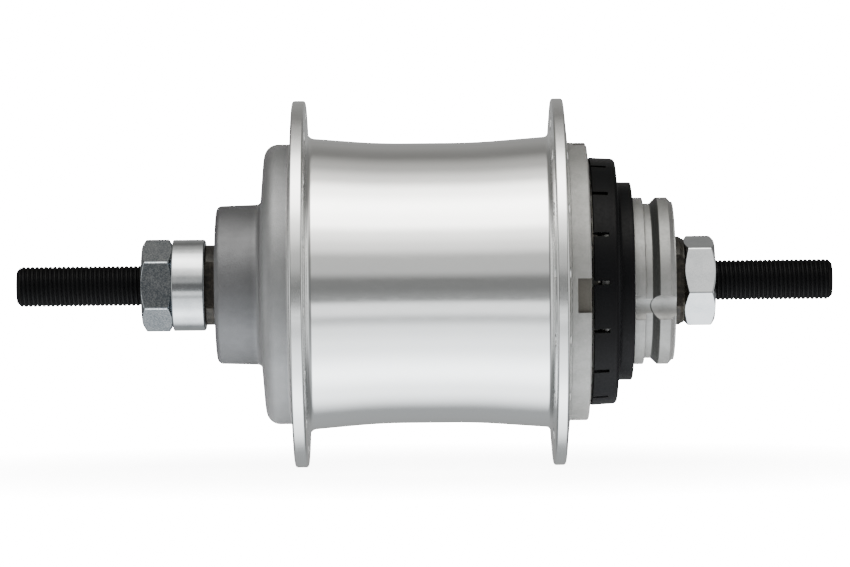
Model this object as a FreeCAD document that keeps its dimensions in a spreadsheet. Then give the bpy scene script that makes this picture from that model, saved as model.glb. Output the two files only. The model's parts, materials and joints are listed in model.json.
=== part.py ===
import FreeCAD
import Part
import Sketcher
import math
import os
import re

# Two-speed bicycle hub gear.  The hub axis is X, +X is the sprocket side, +Z is up.
# The origin is on the axle, midway between the outer faces of the two locknuts.
# Lengths are millimetres, angles are degrees.  Angles "round the hub" are measured
# from +Z towards +Y, which is the way the wheel turns when the bicycle goes forward.

doc = FreeCAD.newDocument("HubGear")
sheet = doc.addObject("Spreadsheet::Sheet", "Sizes")
V = FreeCAD.Vector

SIZES = {
    # axle: 3/8 inch, 24 threads per inch
    "axle_left": -97.2, "axle_right": 95.4, "axle_rad": 4.7625, "axle_point": 1.0,
    "axle_end_rad": 3.8, "engaged_rad": 4.42, "spacer_bore": 4.8,
    "axle_mid_rad": 6.0, "axle_mid_left": -34.0, "axle_mid_right": 30.0,
    # locknuts and spacer: 135 mm over the locknuts
    "lock_left": -67.5, "lock_right": 67.5, "nut_flats": 19.0, "nut_corner_rad": 10.97,
    "nut_face_rad": 9.35, "nut_bevel": 0.93, "nut_sink": 5.4, "sink_deep": 0.7,
    "nut_left_in": -60.25, "nut_right_in": 60.2, "nut_right_turn": -14.0,
    "spacer_in": -52.5, "spacer_rad": 10.8,
    # left bearing
    "lb_station": -43.0, "lb_circle": 11.0, "lb_ball": 3.175, "lb_groove": 3.25,
    "lb_balls": 9, "lb_cage_left": -3.9, "lb_cage_right": 1.4, "lb_cage_in": 10.2,
    "lb_cage_out": 12.4, "cone_l_in": -41.0, "cone_l_rad": 9.47,
    "cone_l_flats": 15.5, "cup_left": -45.5, "cup_right": -38.8, "cup_rad": 15.8,
    "cup_lip": 12.65, "cap_l_left": -49.4, "cap_l_right": -48.6, "cap_l_bore": 10.0,
    # shell
    "boss_left": -49.9, "boss_rad": 18.65, "boss_root_rad": 18.98, "dome_in": -39.4,
    "dome_corner": -38.17, "dome_rad": 33.1, "fl_base_out": 32.0, "fl_tip_out": 31.7,
    "fl_tip_in": 28.6, "fl_base_in": 28.2, "fl_rad": 43.35, "barrel_end_rad": 34.5,
    "barrel_rad": 33.1, "barrel_knee_l": -11.5, "barrel_knee_r": 11.0, "knee_round": 150.0,
    "fr_base_in": 28.5,
    "fr_tip_in": 29.25, "fr_tip_out": 32.0, "fr_base_out": 32.9, "shell_right": 33.0,
    "shell_end_rad": 33.6, "shell_bore": 29.5, "shell_wall_in": -35.8, "shell_throat": 12.8,
    "thread_bore": 31.0, "thread_depth": 21.5,
    "spoke_circle_l": 39.9, "spoke_circle_r": 39.3, "spoke_hole": 1.35, "spoke_holes": 16,
    "spoke_left_ang": -98.7, "spoke_right_ang": -87.45,
    # ball ring and main bearing
    "mb_station": 38.5, "mb_circle": 25.3, "mb_ball": 2.38, "mb_groove": 2.45, "mb_balls": 24,
    "mb_cage_left": -0.6, "mb_cage_right": 0.6, "mb_cage_in": 24.6, "mb_cage_out": 28.15,
    "ring_right": 37.5, "ring_rad": 32.85, "ring_left": 22.0, "ring_web_left": 32.0,
    "ring_bore": 24.2, "ring_relief": 29.0, "hi_tip": 27.0, "hi_root": 28.6, "hi_teeth": 24,
    "hi_ratchet_right": 28.8, "notch_left": 34.3, "notch_half": 4.0, "notch_floor": 31.5,
    "notch_turn": -5.8,
    # driver and its bearing
    "db_station": 53.2, "db_circle": 12.0, "db_ball": 2.38, "db_groove": 2.45, "db_balls": 12,
    "db_cage_left": -1.3, "db_cage_right": 3.05, "db_cage_in": 11.3, "db_cage_out": 12.9,
    "driver_left": 31.0, "driver_collar": 23.05, "driver_disc_left": 40.95,
    "driver_disc_rad": 27.2, "driver_disc_right": 43.0, "driver_neck_rad": 21.5,
    "seat_left": 48.1, "seat_rad": 19.73, "clip_left": 50.6, "clip_rad": 18.3,
    "clip_right": 52.3, "ridge_left": 53.8, "ridge_right": 56.4, "driver_right": 57.7,
    "driver_end_rad": 18.7, "driver_bevel": 57.3, "driver_bore": 12.0, "driver_mouth": 14.45,
    "flute_rad": 3.4, "flute_circle": 21.1, "flute_first": -108.8,
    "cone_r_left": 50.9, "cone_r_nose": 9.55, "cone_r_rad": 10.45, "cone_r_flats": 17.0,
    "cone_r_flat_left": 57.9, "cone_r_bevel": 59.2, "cone_r_face": 9.95,
    "seal_left": 56.6, "seal_right": 57.3, "seal_bore": 10.9,
    # driver dust cap
    "dust_left": 38.1, "dust_rad": 29.3, "dust_face": 44.2, "dust_face_rad": 28.95,
    "dust_rim_bore": 28.35, "dust_step": 40.9, "dust_ring_rad": 23.4, "dust_right": 47.9,
    "dust_slits": 16, "slit_floor": 26.9, "slit_half": 0.5, "slit_end": 41.8,
    "dust_turn": 0.7,
    # gear train: module 0.75, sun 24, planets 20, ring 64
    "gear_mod": 0.75, "press_ang": 20.0, "sun_teeth": 24, "planet_teeth": 20,
    "annulus_teeth": 64, "gear_left": 0.3, "gear_right": 13.3, "backlash": 0.08,
    "pin_rad": 2.5, "pin_fit": 0.05, "pin_left": -4.0, "pin_right": 17.2,
    "planet_circle": 16.5,
    "annulus_rad": 28.0, "annulus_left": 0.0, "annulus_web": 13.6, "annulus_web_right": 15.5,
    "annulus_tail": 28.9, "tail_rad": 26.3, "tail_bore": 21.0, "spigot_rad": 22.5,
    "spigot_right": 30.9,
    # planet carrier
    "carrier_left": -17.2, "carrier_block": -0.4, "carrier_rad": 23.2, "neck_rad": 20.95,
    "carrier_bore": 6.05, "window_left": 0.0, "window_right": 13.6, "window_rad": 8.6,
    "sun_room": 10.3, "plate_right": 17.6, "neck_bore": 14.0, "dog_right": 34.0,
    "dog_in": 14.0, "dog_half": 22.0, "dogs": 3,
    "washer_left": -18.2, "washer_right": -17.25, "washer_rad": 11.0,
    "circlip_left": -19.2, "circlip_right": -18.25, "circlip_groove": 5.5,
    "circlip_rad": 7.6,
    # pawls and ratchets
    "pawl_heel": 1.5, "pawl_reach": 8.0, "pawl_swing": 16.0, "pawl_fit": 0.06,
    "bed_side": 0.3, "bed_under": 0.1, "bed_end": 0.5, "bed_open": 4.0, "bed_lip": 0.4,
    "lo_pivot": 20.6, "lo_fold": 23.0, "pawl_nose": 2.2, "lo_left": -15.5, "lo_right": -6.5,
    "lo_tip": 24.0, "lo_root": 25.25, "lo_teeth": 44, "lo_face": 19.44, "lo_back": 16.91,
    "lo_land": 12.5,
    "lo_ring_left": -16.0, "lo_ring_right": -6.0, "lo_middle": -11.0, "hi_middle": 25.5,
    "hi_pivot": 23.6, "hi_fold": 26.1, "hi_left": 22.5, "hi_right": 28.5,
    "hi_face": 17.19, "hi_back": 14.36, "hi_land": 4.3,
    "wire_rad": 0.4, "wire_room": 0.1, "wire_slot": 1.2, "wire_gap": 20.0,
    # shift ring with its two cam slots, and its friction spring
    "shift_left": 29.0, "shift_right": 30.6, "shift_rad": 27.2, "shift_bore": 22.55,
    "shift_turn": 12.0, "lug_reach": 5.0, "lug_rise": 0.1, "lug_rad": 0.8, "lug_right": 30.4,
    "lug_fit": 0.08, "drag_wire": 0.55, "drag_circle": 23.65, "drag_station": 31.55,
    "drag_tang": 60.0,
}

for row, (name, size) in enumerate(SIZES.items(), start=1):
    sheet.set("A%d" % row, str(size))
    sheet.set("B%d" % row, name)
    sheet.setAlias("A%d" % row, name)
doc.recompute()

# how far a cutting shape runs past what it cuts, and how far one runs right through
PAST = 1.0
THROUGH = 40.0


def size(name):
    """Value of one cell of the sheet."""
    return float(getattr(sheet, name))


def bound(text):
    """A sum of cell names and numbers, written as an expression on the sheet."""
    return re.sub(r"[a-z]\w*", lambda word: "Sizes." + word.group(0), str(text))


def value(text):
    """Value of a sum such as 'boss_left + 2.0 - pin_fit'."""
    total = 0.0
    sign = 1.0
    for word in str(text).split():
        if word in "+-":
            sign = 1.0 if word == "+" else -1.0
            continue
        flip = -1.0 if word.startswith("-") else 1.0
        word = word.lstrip("-")
        total += sign * flip * (size(word) if word[0].isalpha() else float(word))
        sign = 1.0
    return total


def origin_feature(body, role):
    """Plane or axis of a body's own origin."""
    return [item for item in body.Origin.OriginFeatures if item.Role == role][0]


def sketch_on(body, name, role, station="0"):
    """Sketch on one of the body's own planes, moved along the plane's normal."""
    sketch = body.newObject("Sketcher::SketchObject", name)
    sketch.AttachmentSupport = [(origin_feature(body, role), "")]
    sketch.MapMode = "FlatFace"
    if role == "YZ_Plane":
        sketch.AttachmentOffset = FreeCAD.Placement(V(0, 0, value(station)), FreeCAD.Rotation())
        sketch.setExpression("AttachmentOffset.Base.z", bound(station))
    return sketch


def pin_point(sketch, geo, end, spot, tag):
    """Hold one sketch point at the two expressions of a spot."""
    for axis, text, number in (("X", spot[0], spot[2]), ("Y", spot[1], spot[3])):
        rule = Sketcher.Constraint("Distance" + axis, -1, 1, geo, end, number)
        index = sketch.addConstraint(rule)
        sketch.renameConstraint(index, "%s%s" % (axis, tag))
        sketch.setExpression("Constraints.%s%s" % (axis, tag), text)


def outline(sketch, spots, tag="p"):
    """Closed outline.  A spot is (x text, y text, x, y, round); a round above zero fillets it."""
    count = len(spots)
    points = [V(spot[2], spot[3], 0) for spot in spots]
    ends = []
    for i, spot in enumerate(spots):
        back = (points[i - 1] - points[i])
        ahead = (points[(i + 1) % count] - points[i])
        trim = 0.0
        if spot[4]:
            half = back.getAngle(ahead) / 2.0
            trim = spot[4] / math.tan(half)
        ends.append((points[i] + back.normalize() * trim, points[i] + ahead.normalize() * trim))
    lines = []
    for i in range(count):
        line = Part.LineSegment(ends[i][1], ends[(i + 1) % count][0])
        lines.append(sketch.addGeometry(line, False))
    for i, spot in enumerate(spots):
        before = lines[i - 1]
        after = lines[i]
        label = "%s%d" % (tag, i)
        if not spot[4]:
            sketch.addConstraint(Sketcher.Constraint("Coincident", before, 2, after, 1))
            pin_point(sketch, after, 1, spot, label)
            continue
        corner = points[i]
        start, stop = ends[i]
        bisector = ((start - corner).normalize() + (stop - corner).normalize()).normalize()
        half = (start - corner).getAngle(stop - corner) / 2.0
        centre = corner + bisector * (spot[4] / math.sin(half))
        turn = (start - centre).cross(stop - centre).z
        first, last = (start, stop) if turn > 0 else (stop, start)
        circle = Part.Circle(centre, V(0, 0, 1), spot[4])
        arc = Part.ArcOfCircle(circle, circle.parameter(first), circle.parameter(last))
        bend = sketch.addGeometry(arc, False)
        near = 1 if turn > 0 else 2
        sketch.addConstraint(Sketcher.Constraint("Tangent", before, 2, bend, near))
        sketch.addConstraint(Sketcher.Constraint("Tangent", after, 1, bend, 3 - near))
        sketch.addConstraint(Sketcher.Constraint("Radius", bend, spot[4]))
        mark = sketch.addGeometry(Part.Point(corner), True)
        sketch.addConstraint(Sketcher.Constraint("PointOnObject", mark, 1, before))
        sketch.addConstraint(Sketcher.Constraint("PointOnObject", mark, 1, after))
        pin_point(sketch, mark, 1, spot, label)


def turned(name, start, rows):
    """Solid of revolution about X.  Rows are (station, radius[, round]) in the hub frame;
    the body's own origin is at the station 'start'."""
    body = doc.addObject("PartDesign::Body", name)
    body.Label = name
    spots = []
    for row in rows:
        x_text = "(%s) - (%s)" % (bound(row[0]), bound(start))
        fillet = row[2] if len(row) > 2 else 0.0
        x_number = value(row[0]) - value(start)
        spots.append((x_text, bound(row[1]), x_number, value(row[1]), fillet))
    sketch = sketch_on(body, name + "_profile", "XZ_Plane")
    outline(sketch, spots)
    spin = body.newObject("PartDesign::Revolution", name + "_turn")
    spin.Profile = sketch
    spin.ReferenceAxis = (sketch, ["H_Axis"])
    spin.Angle = 360
    body.setExpression("Placement.Base.x", bound(start))
    body.Tip = spin
    return body


def groove_ring(body, name, start, station, circle, groove):
    """Circular race of round section, cut into a turned body."""
    ring = body.newObject("PartDesign::SubtractiveTorus", name)
    ring.setExpression("Radius1", bound(circle))
    ring.setExpression("Radius2", bound(groove))
    offset = value(station) - value(start)
    ring.Placement = FreeCAD.Placement(V(offset, 0, 0), FreeCAD.Rotation(V(0, 1, 0), 90))
    ring.setExpression("Placement.Base.x", "(%s) - (%s)" % (bound(station), bound(start)))
    body.Tip = ring


def polar(radius, angle, fillet=0.0):
    """Spot at a radius and at an angle round the hub, from +Z towards +Y."""
    r_number = value(radius)
    a_number = math.radians(value(angle))
    x_text = "(%s) * sin((%s) * 1 deg)" % (bound(radius), bound(angle))
    y_text = "(%s) * cos((%s) * 1 deg)" % (bound(radius), bound(angle))
    return (x_text, y_text, r_number * math.sin(a_number), r_number * math.cos(a_number), fillet)


def plain(y_text, z_text):
    """Spot at two sums of cells."""
    return (bound(y_text), bound(z_text), value(y_text), value(z_text), 0.0)


def aslant(y_text, z_text, angle):
    """Spot at two sums of cells, turned round the hub by an angle."""
    turn = math.radians(value(angle))
    pair = "(%s) * cos((%s) * 1 deg) %s (%s) * sin((%s) * 1 deg)"
    y_bound = pair % (bound(y_text), bound(angle), "+", bound(z_text), bound(angle))
    z_bound = pair % (bound(z_text), bound(angle), "-", bound(y_text), bound(angle))
    y, z = value(y_text), value(z_text)
    return (y_bound, z_bound, y * math.cos(turn) + z * math.sin(turn),
            z * math.cos(turn) - y * math.sin(turn), 0.0)


def add_circle(sketch, centre, radius, tag):
    """Circle bound to the sheet."""
    at = V(centre[2], centre[3], 0)
    geo = sketch.addGeometry(Part.Circle(at, V(0, 0, 1), value(radius)), False)
    if abs(centre[2]) < 1e-9 and abs(centre[3]) < 1e-9:
        sketch.addConstraint(Sketcher.Constraint("Coincident", geo, 3, -1, 1))
    else:
        pin_point(sketch, geo, 3, centre, tag)
    index = sketch.addConstraint(Sketcher.Constraint("Radius", geo, value(radius)))
    sketch.renameConstraint(index, "radius_" + tag)
    sketch.setExpression("Constraints.radius_" + tag, bound(radius))


def pocket(body, sketch, name, length, count="1"):
    """Cut towards +X by a length, and repeat the cut round the hub."""
    before = body.Shape.Volume
    cut = body.newObject("PartDesign::Pocket", name)
    cut.Profile = sketch
    cut.Type = 0
    cut.Length = value(length)
    cut.setExpression("Length", bound(length))
    cut.Reversed = True
    body.Tip = cut
    if value(count) > 1:
        ring = body.newObject("PartDesign::PolarPattern", name + "_ring")
        ring.Originals = [cut]
        ring.Axis = (origin_feature(body, "X_Axis"), [""])
        ring.Angle = 360
        ring.setExpression("Occurrences", bound(count))
        body.Tip = ring
    doc.recompute()
    if not body.Shape.Volume < before - 1e-6:
        raise RuntimeError(name + " removed nothing")


def cut_outline(body, name, start, station, length, spots, count="1"):
    """Pocket of straight-sided outline at a station of the hub."""
    doc.recompute()
    sketch = sketch_on(body, name + "_sketch", "YZ_Plane", "%s - %s" % (station, start))
    outline(sketch, spots)
    pocket(body, sketch, name, length, count)


def cut_holes(body, name, start, station, length, centre, radius, count="1"):
    """Round holes along X on a circle round the hub."""
    doc.recompute()
    sketch = sketch_on(body, name + "_sketch", "YZ_Plane", "%s - %s" % (station, start))
    add_circle(sketch, centre, radius, "hole")
    pocket(body, sketch, name, length, count)


def coded(name, shape, station="0", turn=0.0, at=(0.0, 0.0)):
    """Sub-part whose outline is computed, placed at a station of the hub."""
    feature = doc.addObject("Part::Feature", name)
    feature.Label = name
    feature.Shape = shape
    spin = FreeCAD.Rotation(V(1, 0, 0), turn)
    feature.Placement = FreeCAD.Placement(V(value(station), at[0], at[1]), spin)
    return feature


def disc(radius, left, right, y=0.0, z=0.0):
    """Cylinder along X."""
    return Part.makeCylinder(radius, right - left, V(left, y, z), V(1, 0, 0))


def prism(points, left, right):
    """Prism along X over points (y, z)."""
    corners = [V(left, y, z) for y, z in points]
    face = Part.Face(Part.makePolygon(corners + [corners[0]]))
    return face.extrude(V(right - left, 0, 0))


def spun(point, angle):
    """Point (y, z) turned about the origin, from +Y towards +Z for a positive angle."""
    turn = math.radians(angle)
    y, z = point
    return (y * math.cos(turn) - z * math.sin(turn), y * math.sin(turn) + z * math.cos(turn))


def around(radius, angle):
    """Point (y, z) at a radius and an angle round the hub."""
    turn = math.radians(angle)
    return (radius * math.sin(turn), radius * math.cos(turn))


# ---- axle, locknuts, spacer, cones -------------------------------------------------------

axle = turned("axle", "axle_left", [
    ("axle_left", "0"), ("axle_left", "axle_end_rad"),
    ("axle_left + axle_point", "axle_rad"), ("lock_left", "axle_rad"),
    ("lock_left", "engaged_rad"), ("axle_mid_left", "engaged_rad"),
    ("axle_mid_left", "axle_mid_rad"), ("circlip_left", "axle_mid_rad"),
    ("circlip_left", "circlip_groove"), ("circlip_right", "circlip_groove"),
    ("circlip_right", "axle_mid_rad"), ("axle_mid_right", "axle_mid_rad"),
    ("axle_mid_right", "engaged_rad"), ("lock_right", "engaged_rad"),
    ("lock_right", "axle_rad"), ("axle_right - axle_point", "axle_rad"),
    ("axle_right", "axle_end_rad"), ("axle_right", "0")])


def locknut(name, outer, inner, turn):
    """Hexagon nut, bevelled and countersunk at both faces, with a corner turned from +Z."""
    left, right = (outer, inner) if value(outer) < value(inner) else (inner, outer)
    nut = turned(name, left, [
        (left, "nut_sink"), (left, "nut_face_rad"), (left + " + nut_bevel", "nut_corner_rad"),
        (right + " - nut_bevel", "nut_corner_rad"), (right, "nut_face_rad"),
        (right, "nut_sink"), (right + " - sink_deep", "engaged_rad"),
        (left + " + sink_deep", "engaged_rad")])
    doc.recompute()
    sketch = sketch_on(nut, name + "_hexagon", "YZ_Plane", "0")
    corners = []
    for k in range(6):
        angle = math.radians(60.0 * k)
        reach = size("nut_flats") / math.sqrt(3.0)
        x_text = "Sizes.nut_flats / sqrt(3) * %s" % round(math.sin(angle), 9)
        y_text = "Sizes.nut_flats / sqrt(3) * %s" % round(math.cos(angle), 9)
        corners.append((x_text, y_text, reach * math.sin(angle), reach * math.cos(angle), 0.0))
    outline(sketch, corners)
    add_circle(sketch, ("0", "0", 0.0, 0.0, 0.0), "nut_flats", "outside")
    pocket(nut, sketch, name + "_flats", right + " - " + left)
    nut.Placement = FreeCAD.Placement(nut.Placement.Base, FreeCAD.Rotation(V(1, 0, 0), turn))
    nut.setExpression("Placement.Base.x", bound(left))


locknut("locknut_left", "lock_left", "nut_left_in", 0.0)
locknut("locknut_right", "lock_right", "nut_right_in", size("nut_right_turn"))

turned("spacer_left", "nut_left_in", [
    ("nut_left_in", "spacer_bore"), ("nut_left_in", "spacer_rad", 0.3),
    ("spacer_in", "spacer_rad", 0.5), ("spacer_in", "spacer_bore")])


def cone_flats(body, name, start, station, length, across):
    """Two spanner flats, facing -Y and +Y."""
    for side, sign in (("near", "-"), ("far", "")):
        doc.recompute()
        place = "%s - %s" % (station, start)
        sketch = sketch_on(body, "%s_%s" % (name, side), "YZ_Plane", place)
        flat = value(across) / 2.0 * (-1.0 if sign else 1.0)
        wide = value("spacer_rad") * 1.5
        y_flat = "%sSizes.%s / 2" % (sign, across)
        spots = []
        for y_text, y, z in ((y_flat, flat, -wide), (y_flat, flat, wide),
                             (sign + "Sizes.spacer_rad * 1.5", math.copysign(wide, flat), wide),
                             (sign + "Sizes.spacer_rad * 1.5", math.copysign(wide, flat), -wide)):
            z_text = "Sizes.spacer_rad * %s" % (1.5 if z > 0 else -1.5)
            spots.append((y_text, z_text, y, z, 0.0))
        outline(sketch, spots)
        pocket(body, sketch, "%s_%s_cut" % (name, side), length)


cone_left = turned("cone_left", "spacer_in", [
    ("spacer_in", "engaged_rad"), ("spacer_in", "cone_l_rad", 0.3),
    ("cone_l_in", "cone_l_rad"), ("cone_l_in", "engaged_rad")])
groove_ring(cone_left, "cone_left_race", "spacer_in", "lb_station", "lb_circle", "lb_groove")
cone_flats(cone_left, "cone_left_flat", "spacer_in", "spacer_in", "cap_l_left - spacer_in",
           "cone_l_flats")

cone_right = turned("cone_right", "cone_r_left", [
    ("cone_r_left", "engaged_rad"), ("cone_r_left", "cone_r_nose"),
    ("db_station", "cone_r_nose"), ("db_station + 0.4", "cone_r_rad"),
    ("cone_r_bevel", "cone_r_rad"), ("cone_r_bevel + 0.7", "cone_r_face"),
    ("nut_right_in", "cone_r_face"), ("nut_right_in", "engaged_rad")])
groove_ring(cone_right, "cone_right_race", "cone_r_left", "db_station", "db_circle",
            "db_groove")
cone_flats(cone_right, "cone_right_flat", "cone_r_left", "cone_r_flat_left",
           "nut_right_in - cone_r_flat_left", "cone_r_flats")

turned("thrust_washer", "washer_left", [
    ("washer_left", "axle_mid_rad"), ("washer_left", "washer_rad"),
    ("washer_right", "washer_rad"), ("washer_right", "axle_mid_rad")])

clip = turned("circlip", "circlip_left", [
    ("circlip_left", "circlip_groove"), ("circlip_left", "circlip_rad"),
    ("circlip_right", "circlip_rad"), ("circlip_right", "circlip_groove")])
cut_outline(clip, "circlip_gap", "circlip_left", "circlip_left",
            "circlip_right - circlip_left",
            [polar("circlip_groove - 1.5", "60"), polar("circlip_rad + 1.5", "75"),
             polar("circlip_rad + 1.5", "105"), polar("circlip_groove - 1.5", "120")])

# ---- shell -------------------------------------------------------------------------------

shell = turned("hub_shell", "boss_left", [
    ("boss_left", "cup_rad"), ("boss_left", "boss_rad", 1.3),
    ("dome_in", "boss_root_rad", 1.2), ("dome_corner", "dome_rad", 3.2),
    ("-fl_base_out", "dome_rad", 0.8), ("-fl_tip_out", "fl_rad", 0.6),
    ("-fl_tip_in", "fl_rad", 0.6), ("-fl_base_in", "barrel_end_rad", 1.8),
    ("barrel_knee_l", "barrel_rad", size("knee_round")),
    ("barrel_knee_r", "barrel_rad", size("knee_round")),
    ("fr_base_in", "barrel_end_rad - 0.1", 1.2), ("fr_tip_in", "fl_rad", 0.6),
    ("fr_tip_out", "fl_rad", 0.6), ("fr_base_out", "shell_end_rad + 0.4", 0.4),
    ("shell_right", "shell_end_rad"), ("shell_right", "thread_bore"),
    ("thread_depth", "thread_bore"), ("thread_depth", "shell_bore"),
    ("shell_wall_in", "shell_bore", 2.0), ("shell_wall_in", "shell_throat"),
    ("cup_right", "shell_throat"), ("cup_right", "cup_rad")])
cut_holes(shell, "spokes_left", "boss_left", "-fl_base_out - 1.0", "fl_base_out - 25.0",
          polar("spoke_circle_l", "spoke_left_ang"), "spoke_hole", "spoke_holes")
cut_holes(shell, "spokes_right", "boss_left", "fr_base_in - 1.5", "7.0",
          polar("spoke_circle_r", "spoke_right_ang"), "spoke_hole", "spoke_holes")

cup = turned("left_bearing_cup", "cup_left", [
    ("cup_left", "lb_circle + lb_groove"), ("cup_left", "cup_rad"),
    ("cup_right", "cup_rad"), ("cup_right", "cup_lip"),
    ("lb_station", "cup_lip"), ("lb_station", "lb_circle + lb_groove")])
groove_ring(cup, "cup_race", "cup_left", "lb_station", "lb_circle", "lb_groove")

turned("left_dust_cap", "cap_l_left", [
    ("cap_l_left", "cap_l_bore"), ("cap_l_left", "cup_rad"),
    ("cap_l_right", "cup_rad"), ("cap_l_right", "cap_l_bore")])


def ratchet(body, name, start, left, length, kind):
    """Ring of sawtooth valleys behind the tip circle of an internal ratchet."""
    tip, root, teeth = kind + "_tip", kind + "_root", kind + "_teeth"
    face, back, land = kind + "_face", kind + "_back", kind + "_land"
    cut_outline(body, name, start, left, length,
                [polar(tip + " - 0.15", face), polar(root, back),
                 polar(root + " - 0.05", back + " - 0.5"), polar(tip + " - 0.15", land)], teeth)


low_ring = turned("left_ratchet_ring", "lo_ring_left", [
    ("lo_ring_left", "lo_tip"), ("lo_ring_left", "shell_bore"),
    ("lo_ring_right", "shell_bore"), ("lo_ring_right", "lo_tip")])
ratchet(low_ring, "low_teeth", "lo_ring_left", "lo_ring_left",
        "lo_ring_right - lo_ring_left", "lo")

ball_ring = turned("ball_ring", "ring_left", [
    ("ring_left", "hi_tip"), ("ring_left", "thread_bore"), ("shell_right", "thread_bore"),
    ("shell_right", "ring_rad"), ("ring_right", "ring_rad", 0.5),
    ("ring_right", "ring_bore"), ("ring_web_left", "ring_bore"),
    ("ring_web_left", "ring_relief"), ("hi_ratchet_right", "ring_relief"),
    ("hi_ratchet_right", "hi_tip")])
groove_ring(ball_ring, "ball_ring_race", "ring_left", "mb_station", "mb_circle", "mb_groove")
ratchet(ball_ring, "high_teeth", "ring_left", "ring_left", "hi_ratchet_right - ring_left", "hi")
cut_outline(ball_ring, "wrench_notches", "ring_left", "notch_left",
            "ring_right - notch_left",
            [aslant("-notch_half", "notch_floor", "notch_turn"),
             aslant("-notch_half", "ring_rad + 2.0", "notch_turn"),
             aslant("notch_half", "ring_rad + 2.0", "notch_turn"),
             aslant("notch_half", "notch_floor", "notch_turn")], "4")

# ---- driver and planet carrier -----------------------------------------------------------

driver = turned("driver", "driver_left", [
    ("driver_left", "driver_bore"), ("driver_left", "driver_collar"),
    ("driver_disc_left - 0.9", "driver_collar"),
    ("driver_disc_left - 0.9", "driver_disc_rad"),
    ("driver_disc_right", "driver_disc_rad"), ("driver_disc_right", "driver_neck_rad"),
    ("seat_left", "driver_neck_rad"), ("seat_left", "seat_rad"),
    ("clip_left", "seat_rad"), ("clip_left", "clip_rad"), ("clip_right", "clip_rad"),
    ("ridge_left", "seat_rad"), ("ridge_right", "seat_rad"),
    ("driver_bevel", "driver_end_rad"), ("driver_right", "driver_end_rad"),
    ("driver_right", "driver_mouth"), ("db_station", "driver_mouth"),
    ("db_station", "driver_bore")])
groove_ring(driver, "driver_left_race", "driver_left", "mb_station", "mb_circle", "mb_groove")
groove_ring(driver, "driver_right_race", "driver_left", "db_station", "db_circle", "db_groove")
for flute in range(3):
    turn = "flute_first + %d" % (120 * flute)
    cut_holes(driver, "sprocket_flute_%d" % (flute + 1), "driver_left", "seat_left",
              "driver_right - seat_left", polar("flute_circle", turn), "flute_rad")


def dog_spots(fit):
    """Straight-sided sector of one driving dog, or of the notch for it, on the +Z side."""
    half = "dog_half + " + fit
    outer = "neck_rad + " + fit
    bore = "dog_in - 3.0" if value(fit) > 0 else "dog_in + 0.9"
    return [polar(bore, "-" + half.replace("+", "-")), polar(outer, "-" + half.replace("+", "-")),
            polar(outer, "-8.0"), polar(outer, "8.0"), polar(outer, half), polar(bore, half)]


cut_outline(driver, "dog_notches", "driver_left", "driver_left",
            "dog_right - driver_left + 0.1", dog_spots("0.1"), "dogs")

dust_cap = turned("driver_dust_cap", "dust_left", [
    ("dust_left", "dust_rim_bore"), ("dust_left", "dust_rad", 0.25),
    ("dust_face", "dust_face_rad", 1.0), ("dust_face", "dust_ring_rad", 1.1),
    ("dust_right", "dust_ring_rad", 0.3), ("dust_right", "driver_neck_rad"),
    ("driver_disc_right", "driver_neck_rad"), ("driver_disc_right", "driver_disc_rad"),
    ("dust_step", "driver_disc_rad"), ("dust_step", "dust_rim_bore")])
cut_outline(dust_cap, "slits", "dust_left", "dust_left", "slit_end - dust_left",
            [plain("-slit_half", "slit_floor"), plain("-slit_half", "dust_rad + 1.0"),
             plain("slit_half", "dust_rad + 1.0"), plain("slit_half", "slit_floor")],
            "dust_slits")
dust_cap.Placement = FreeCAD.Placement(dust_cap.Placement.Base,
                                       FreeCAD.Rotation(V(1, 0, 0), size("dust_turn")))
dust_cap.setExpression("Placement.Base.x", bound("dust_left"))

turned("cone_seal", "seal_left", [
    ("seal_left", "seal_bore"), ("seal_left", "driver_mouth"),
    ("seal_right", "driver_mouth"), ("seal_right", "seal_bore")])

carrier = turned("planet_carrier", "carrier_left", [
    ("carrier_left", "carrier_bore"), ("carrier_left", "carrier_rad"),
    ("carrier_block", "carrier_rad"), ("carrier_block", "neck_rad"),
    ("driver_left", "neck_rad"), ("driver_left", "neck_bore"),
    ("plate_right", "neck_bore"), ("plate_right", "carrier_bore"),
    ("window_right", "carrier_bore"), ("window_right", "sun_room"),
    ("window_left", "sun_room"), ("window_left", "carrier_bore")])
cut_holes(carrier, "planet_windows", "carrier_left", "window_left",
          "window_right - window_left",
          polar("planet_circle", "0"), "window_rad", "4")
cut_holes(carrier, "pin_holes", "carrier_left", "pin_left", "pin_right - pin_left",
          polar("planet_circle", "0"), "pin_rad", "4")


def pawl_bed(body, name, start, left, length, kind):
    """Two pockets that hold the pawls: a round seat for the heel and room for the arm."""
    pivot = kind + "_pivot"
    heel = plain("0.0", pivot)
    cut_holes(body, name + "_heel", start, left, length, heel, "pawl_heel + pawl_fit", "2")
    cut_outline(body, name + "_arm", start, left, length,
                [plain("0.0", pivot + " - pawl_heel - bed_under"),
                 plain("pawl_reach + bed_end", pivot + " - pawl_heel - bed_under"),
                 plain("pawl_reach + bed_end", pivot + " + bed_open"),
                 plain("-bed_end", pivot + " + bed_open"),
                 plain("-bed_end", pivot + " + bed_lip")], "2")


pawl_bed(carrier, "low_bed", "carrier_left", "lo_left - bed_side",
         "lo_right - lo_left + bed_side + bed_side", "lo")


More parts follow.
